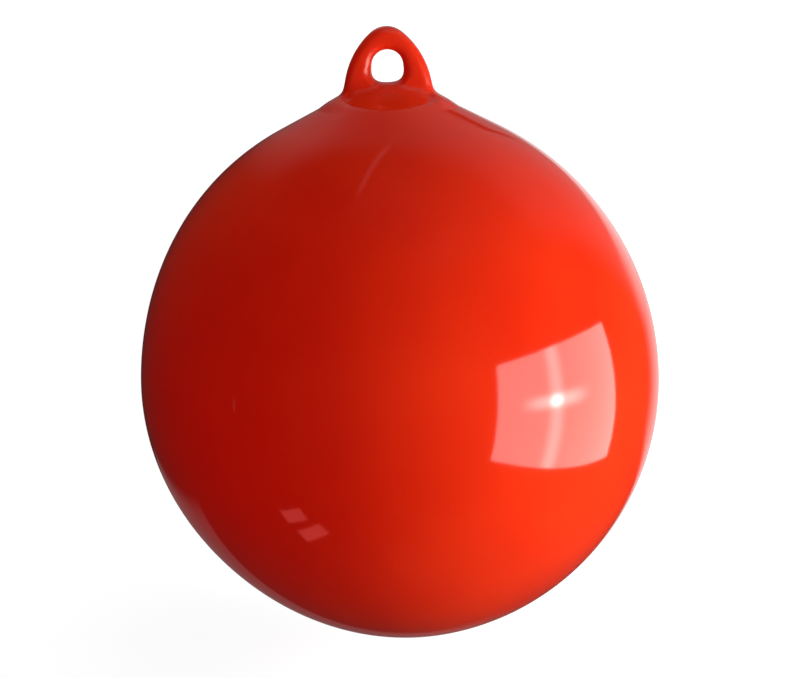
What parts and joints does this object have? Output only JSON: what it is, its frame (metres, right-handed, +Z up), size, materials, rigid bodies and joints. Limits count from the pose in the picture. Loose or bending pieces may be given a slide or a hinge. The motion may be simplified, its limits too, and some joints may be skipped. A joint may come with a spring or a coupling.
{
  "type": "anchor buoy",
  "caption": "Inflatable red vinyl ball buoy with a solid moulded rope eye on its top and a screw air valve on the back of its shoulder.",
  "frame": {"origin": "on the ball's axis at the waterline, 60 mm above the lowest point of the ball", "axes": "+Z up through the rope eye; the hole of the eye runs along Y; -Y is the front that the picture shows, and the valve is on the +Y side"},
  "size_m": [0.3799, 0.38, 0.4489],
  "materials": {
    "red_vinyl": "glossy moulded vinyl, faintly uneven",
    "seat_vinyl": "black moulded vinyl, satin",
    "plug_plastic": "black moulded plastic with a slot, satin"
  },
  "bodies": {
    "root": {"ball_shell": "red_vinyl", "rope_eye": "red_vinyl", "valve_seat": "seat_vinyl", "valve_plug": "plug_plastic"}
  },
  "joints": []
}
